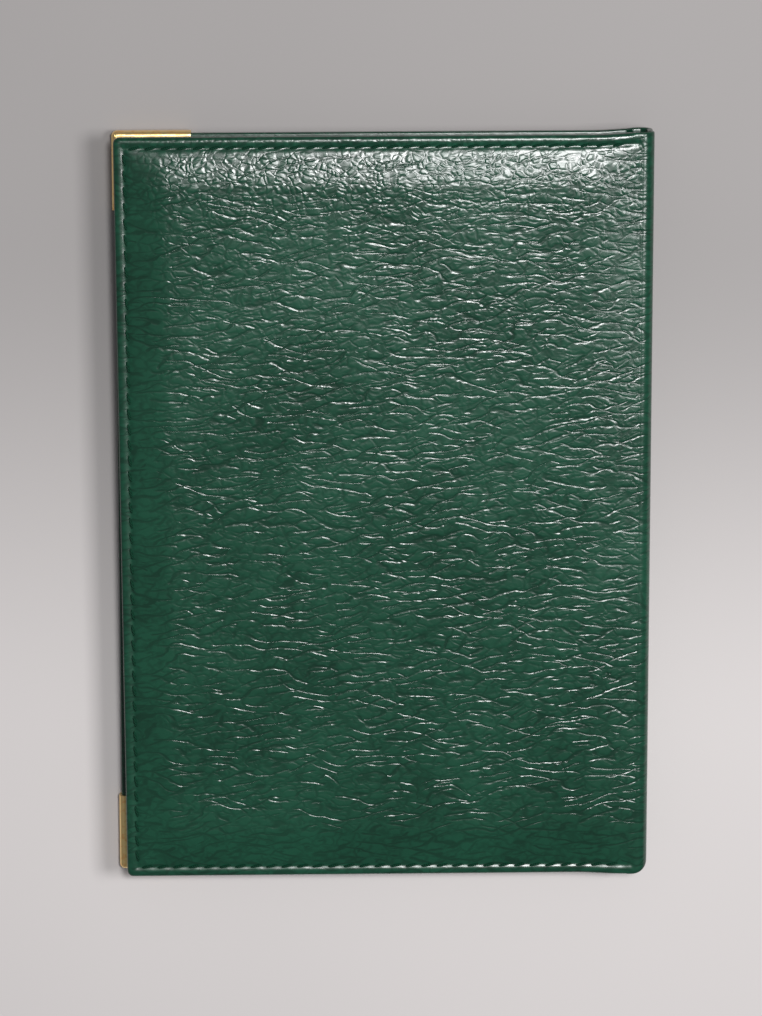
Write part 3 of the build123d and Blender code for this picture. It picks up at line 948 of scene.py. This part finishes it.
def make_lining(name, place, fore, cut):
    """The cloth lining of one cover, dipping into the gutter and on over half the spine."""
    columns, rows = inner_lines(fore(0), cut)
    columns = [u for u in columns if u < -2.8 * MM]
    columns += spaced(-2.7 * MM, 0.0, 0.18 * MM) + spaced(0.0, ARC, 0.2 * MM)[1:]
    columns += spaced(ARC, ARC + HALF_SPINE, 0.4 * MM)[1:]
    reach = -fore(0)

    def face(depth):
        def at(u, v, draw):
            shift = (fore(v) - fore(0)) * max(0.0, 1 - 2 * (u + reach) / reach)
            shift += notch(u + fore(v) - fore(0), v, fore) if cut else 0.0
            return place(u + shift, v, skin_thickness(u) + abs(depth - draw), 0.0)
        return at
    points, faces, unrolled = soft_band(
        columns, notched_half(HALF_HEIGHT - STRIP, fore(0), cut, 0.5 * MM), rows,
        face(0.0), face(LINING), LINING)
    return mesh_object(name, points, faces, finish_for("ribbed lining"), {"unrolled": unrolled})


def make_pocket(name, place, fore, cut):
    """The slip pocket's leather: a panel with a thicker turned hem along its sewn edges."""
    end = POCKET_END
    columns, rows = inner_lines(fore(0), cut)
    columns = [u for u in columns if u < end - 0.6 * MM] + [end]
    start, reach = fore(0) + STRIP, -fore(0)
    settings = bpy.context.scene.notebook_leather

    def moved(u, v):
        shift = (fore(v) - fore(0)) * max(0.0, 1 - 2 * (u + reach) / reach)
        return u + shift + (notch(u + fore(v) - fore(0), v, fore) if cut else 0.0)

    def depth_at(u, v):
        ring = min(u - start, HALF_HEIGHT - STRIP - abs(v))
        return POCKET_DEPTH - (POCKET_DEPTH - POCKET_SHEET) * ease((ring - HEM) / (0.3 * MM)), ring

    def near(u, v, draw):
        depth, ring = depth_at(u, v)
        seam = 0.16 * MM * math.exp(-((ring + STRIP - settings.seam_inset) / (0.35 * MM)) ** 2)
        ease_in = draw * depth / POCKET_DEPTH + seam * (u < end - 2 * MM)
        return place(moved(u, v), v, RIM + POCKET_DEPTH - ease_in, 0.0)

    def far(u, v, draw):
        depth, _ = depth_at(u, v)
        ease_in = draw * depth / POCKET_DEPTH + 0.01 * MM
        return place(moved(u, v), v, RIM + POCKET_DEPTH - depth + ease_in, 0.0)
    points, faces, unrolled = soft_band(
        columns, notched_half(HALF_HEIGHT - STRIP, fore(0), cut, 0.5 * MM), rows, far, near,
        POCKET_DEPTH, inner_end=True)
    return mesh_object(name, points, faces, finish_for("pocket leather"), {"unrolled": unrolled})


def make_leaves(group, side, low, high):
    """One group of the refill's leaves, from its fore edge round half of the fold."""
    count = bpy.context.scene.notebook_refill.sheets
    pitch = (high - low) / count
    thick = pitch * 0.74
    tall, fore = LEAF_HIGH[1], LEAF_LOW[0] - FOLD_X
    points, faces = [], []
    for k in range(count):
        height = low + (k + 0.5) * pitch
        trim = 0.10 * MM * math.sin(2.4 * k + 7.0 * height / MM) ** 2
        arc = math.pi / 2 * height

        def face(reach):
            def at(u, v, draw):
                r = reach + (height - reach) * min(1.0, draw / (thick / 2))
                if u <= 0:
                    return (FOLD_X + u, v, MID_Z + side * r)
                turn = u / height
                return (FOLD_X + r * math.sin(turn), v, MID_Z + side * r * math.cos(turn))
            return at
        columns = [fore + trim + a * MM for a in (0, 0.25, 0.7, 1.3, 2.2, 3.2, 4.2)]
        columns += spaced(fore + 6 * MM, -5 * MM, 2.6 * MM)
        columns += spaced(-4.5 * MM, 0.0, 0.3 * MM) + [arc * s / 8 for s in range(1, 9)]
        rows = spaced(PAGE_CORNER + 0.3 * MM - tall, tall - PAGE_CORNER - 0.3 * MM, 5 * MM)
        added, new, _ = soft_band(columns, rounded_half(tall, fore + trim, PAGE_CORNER), rows,
                                  face(height + thick / 2), face(height - thick / 2), thick)
        base = len(points)
        points += added
        faces += [tuple(i + base for i in (f if side > 0 else f[::-1])) for f in new]
    return mesh_object(f"leaves_{group}_paper", points, faces, finish_for("ruled paper"))


def seam_runs(fore, gilt):
    """Each straight run of a cover's seam as (start, end, inside): stitches' centres in u and v."""
    settings = bpy.context.scene.notebook_thread
    inset = bpy.context.scene.notebook_leather.seam_inset
    pitch, spare = settings.pitch, settings.length * 0.6
    tall = HALF_HEIGHT - inset

    def centred(low, high):
        first = math.ceil((low + spare) / pitch - 0.5) + 0.5
        last = math.floor((high - spare) / pitch - 0.5) + 0.5
        return first * pitch, last * pitch
    runs = []
    for inside in (False, True):
        for sign in (1, -1):
            v = sign * tall
            corner = fore(v) + (GILT_LEG if gilt else inset)
            stops = [(corner, POCKET_END), (POCKET_END, -SEAM_END)] if inside else [(corner, -SEAM_END)]
            for low, high in stops:
                low, high = centred(low, high)
                runs.append(((low, v), (high, v), inside))
        high = HALF_HEIGHT - GILT_LEG if gilt else tall
        low, high = centred(-high, high)
        runs.append(((fore(low) + inset, low), (fore(high) + inset, high), inside))
    return runs


def make_seam(name, place, fore, gilt):
    """The thread of one cover's seam, on its outside and on its inside."""
    settings = bpy.context.scene.notebook_thread
    groove = bpy.context.scene.notebook_leather.seam_groove
    radius = settings.diameter / 2
    points, edges, down = [], [], []
    for start, end, inside in seam_runs(fore, gilt):
        for u, v in (start, end):
            if not inside:
                depth = groove * 0.75 - radius * 0.45
            elif u < POCKET_END:
                depth = RIM + POCKET_DEPTH - 0.1 * MM + radius * 0.45
            else:
                depth = RIM + radius * 0.5
            points.append(place(u, v, depth, 0.0))
            down.append(1.0 if inside == (place is back_place) else 0.0)
        edges.append((len(points) - 2, len(points) - 1))
    mesh = bpy.data.meshes.new(name)
    mesh.from_pydata(points, edges, [])
    mesh.attributes.new("faces_down", "FLOAT", "POINT").data.foreach_set("value", down)
    made = bpy.data.objects.new(name, mesh)
    bpy.context.scene.collection.objects.link(made)
    tree, inputs = stitch_tree(finish_for("waxed thread"))
    return applied(made, tree, {
        inputs["Pitch"]: settings.pitch, inputs["Length"]: settings.length,
        inputs["Diameter"]: settings.diameter, inputs["Slant"]: settings.slant})


COVERS = {
    "back": (back_place, back_fore, 0.4, False),
    "front": (front_place, front_fore, 2.1, True),
}


class NOTEBOOK_OT_leather(bpy.types.Operator):
    """Make the padded leather of both covers, each with its bend and its half of the spine"""

    bl_idname = "notebook.leather"
    bl_label = "Cover leather"

    def execute(self, context):
        stands_for = {"back": ("back_leather", "back_hinge_leather"),
                      "front": ("front_leather", "front_hinge_leather", "spine_leather")}
        for cover, (place, fore, phase, _) in COVERS.items():
            made = make_skin(f"{cover}_cover_leather", place, fore, phase)
            bend_with_spine(made, f"{cover}_cover")
            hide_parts(*stands_for[cover])
        return {"FINISHED"}


class NOTEBOOK_OT_seams(bpy.types.Operator):
    """Sew each cover's seam, stitch by stitch"""

    bl_idname = "notebook.seams"
    bl_label = "Seams"

    def execute(self, context):
        for cover, (place, fore, _, gilt) in COVERS.items():
            made = make_seam(f"{cover}_seam_thread", place, fore, gilt)
            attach(made, f"{cover}_cover")
            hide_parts(f"{cover}_stitching")
        return {"FINISHED"}


class NOTEBOOK_OT_linings(bpy.types.Operator):
    """Make the cloth linings of the covers and the spine"""

    bl_idname = "notebook.linings"
    bl_label = "Linings"

    def execute(self, context):
        stands_for = {"back": ("back_lining",), "front": ("front_lining", "spine_lining")}
        for cover, (place, fore, _, gilt) in COVERS.items():
            made = face_out(make_lining(f"{cover}_cloth_lining", place, fore, gilt), place)
            bend_with_spine(made, f"{cover}_cover")
            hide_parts(*stands_for[cover])
        return {"FINISHED"}


class NOTEBOOK_OT_pockets(bpy.types.Operator):
    """Make the leather of the two slip pockets"""

    bl_idname = "notebook.pockets"
    bl_label = "Slip pockets"

    def execute(self, context):
        for cover, (place, fore, _, gilt) in COVERS.items():
            made = face_out(make_pocket(f"{cover}_slip_pocket", place, fore, gilt), place)
            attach(made, f"{cover}_cover")
            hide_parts(f"{cover}_pocket_panel", f"{cover}_pocket_hem")
        return {"FINISHED"}


class NOTEBOOK_OT_leaves(bpy.types.Operator):
    """Make the six groups of the refill's leaves, sheet by sheet, round their fold"""

    bl_idname = "notebook.leaves"
    bl_label = "Leaves"

    def execute(self, context):
        for cover, side in (("back", 1), ("front", -1)):
            for layer in ("outer", "middle", "inner"):
                body = f"leaves_{cover}_{layer}"
                low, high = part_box(body)
                near, far = sorted((abs(low[2] - MID_Z), abs(high[2] - MID_Z)))
                made = make_leaves(f"{cover}_{layer}", side, near, far)
                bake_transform(made)
                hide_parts(*((body, "refill_fold") if body == "leaves_back_outer" else (body,)))
        return {"FINISHED"}


class NOTEBOOK_OT_finishes(bpy.types.Operator):
    """Give the parts that keep their own shape their finishes"""

    bl_idname = "notebook.finishes"
    bl_label = "Finishes"

    def execute(self, context):
        for finish, names in CARRIED.items():
            for name in names:
                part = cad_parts[name]
                if not part.material_slots:
                    part.data.materials.append(None)
                for slot in part.material_slots:
                    slot.material = finish_for(finish)
        return {"FINISHED"}


CARRIED = {
    "polished gilt": ("gilt_corner_head", "gilt_corner_foot"),
    "grey board": ("front_board", "back_board"),
    "infill paper": ("front_infill", "back_infill", "spine_infill"),
    "foam": ("front_padding", "back_padding"),
    "cream card": ("refill_front_card", "refill_back_card", "refill_spine_card"),
    "staple wire": ("refill_staples",),
}
FINISHES = {
    "pebbled leather": pebbled_leather,
    "pocket leather": smooth_leather,
    "waxed thread": waxed_thread,
    "polished gilt": polished_gilt,
    "ribbed lining": ribbed_lining,
    "ruled paper": ruled_paper,
    "grey board": lambda: mottled("grey board", (0.28, 0.26, 0.23), 0.8, 900, 0.03 * MM),
    "infill paper": lambda: mottled("infill paper", (0.03, 0.05, 0.035), 0.8, 1200, 0.02 * MM),
    "foam": lambda: mottled("foam", (0.6, 0.58, 0.52), 0.9, 2200, 0.1 * MM),
    "cream card": lambda: mottled("cream card", (0.62, 0.57, 0.45), 0.7, 1800, 0.02 * MM),
    "staple wire": lambda: mottled("staple wire", (0.62, 0.62, 0.6), 0.28, 900, 0.01 * MM, metallic=1.0),
}


class NOTEBOOK_OT_stage(bpy.types.Operator):
    """Set the floor, the lights and the camera"""

    bl_idname = "notebook.stage"
    bl_label = "Stage"

    def execute(self, context):
        settings = context.scene.notebook_stage
        made, tree, shader = material("pale floor")
        place = object_place(tree)
        cloud = noise(tree, place, 6, 2.0).outputs[0]
        across = node(tree, "ShaderNodeSeparateXYZ", {0: place}).outputs["Y"]
        # Painted shade: the floor's colour darkens from the foot towards the head, standing in for weaker
        # light there; the cloud is random tone.
        painted_floor_shade = ramp(tree, across, 0.055, -0.05, settings.painted_shade_share, 1.0)
        shade = times(tree, painted_floor_shade, blotch(tree, cloud, 0.98, 1.02))
        tree.links.new(tint(tree, settings.floor, shade), shader.inputs["Base Color"])
        shader.inputs["Roughness"].default_value = 0.75
        corners = [(x, y, 0) for x, y in ((-3, -3), (3, -3), (3, 3), (-3, 3))]
        floor = mesh_object("floor", corners, [(0, 1, 2, 3)], made)
        self.light(context, "key", KEY_PLACE, (0.0, 0.03, 0.0), (0.11, 0.11), settings.key_power)
        self.light(context, "fill", FILL_PLACE, (0.0, 0.0, 0.0), (0.20, 0.20), settings.fill_power)
        world = bpy.data.worlds.new("studio")
        world.use_nodes = True
        background = world.node_tree.nodes["Background"]
        background.inputs["Color"].default_value = (0.95, 0.97, 1.0, 1)
        background.inputs["Strength"].default_value = settings.sky
        context.scene.world = world
        context.scene.view_settings.view_transform = "Standard"
        camera = bpy.data.cameras.new("camera")
        camera.lens = settings.lens
        camera.sensor_width = 36
        holder = bpy.data.objects.new("camera", camera)
        holder.location = CAMERA_PLACE
        holder.rotation_euler = [math.radians(a) for a in CAMERA_TURN]
        context.scene.collection.objects.link(holder)
        context.scene.camera = holder
        return {"FINISHED"}

    def light(self, context, name, place, aim, size, power):
        """A rectangular area light turned towards a point."""
        lamp = bpy.data.lights.new(name, "AREA")
        lamp.shape = "RECTANGLE"
        lamp.size, lamp.size_y = size
        lamp.energy = power
        holder = bpy.data.objects.new(name, lamp)
        holder.location = place
        direction = Vector(aim) - Vector(place)
        holder.rotation_euler = direction.to_track_quat("-Z", "Y").to_euler()
        context.scene.collection.objects.link(holder)


OPERATORS = (NOTEBOOK_OT_leather, NOTEBOOK_OT_seams, NOTEBOOK_OT_linings, NOTEBOOK_OT_pockets,
             NOTEBOOK_OT_leaves, NOTEBOOK_OT_finishes, NOTEBOOK_OT_stage)
SETTINGS = {"notebook_leather": LeatherSettings, "notebook_thread": ThreadSettings,
            "notebook_refill": RefillSettings, "notebook_stage": StageSettings}


class NOTEBOOK_PT_pieces(bpy.types.Panel):
    """The notebook's pieces"""

    bl_label = "Notebook"
    bl_idname = "NOTEBOOK_PT_pieces"
    bl_space_type = "VIEW_3D"
    bl_region_type = "UI"
    bl_category = "Notebook"

    def draw(self, context):
        for name in SETTINGS:
            group = getattr(context.scene, name)
            box = self.layout.box()
            for key in group.__annotations__:
                box.prop(group, key)
        for operator in OPERATORS:
            self.layout.operator(operator.bl_idname)


def register():
    for group in SETTINGS.values():
        bpy.utils.register_class(group)
    for name, group in SETTINGS.items():
        setattr(bpy.types.Scene, name, PointerProperty(type=group))
    for operator in OPERATORS:
        bpy.utils.register_class(operator)
    bpy.utils.register_class(NOTEBOOK_PT_pieces)


def unregister():
    bpy.utils.unregister_class(NOTEBOOK_PT_pieces)
    for operator in reversed(OPERATORS):
        bpy.utils.unregister_class(operator)
    for name, group in SETTINGS.items():
        delattr(bpy.types.Scene, name)
        bpy.utils.unregister_class(group)


def main():
    register()
    for operator in OPERATORS:
        group, name = operator.bl_idname.split(".")
        getattr(getattr(bpy.ops, group), name)()


if __name__ == "__main__":
    main()
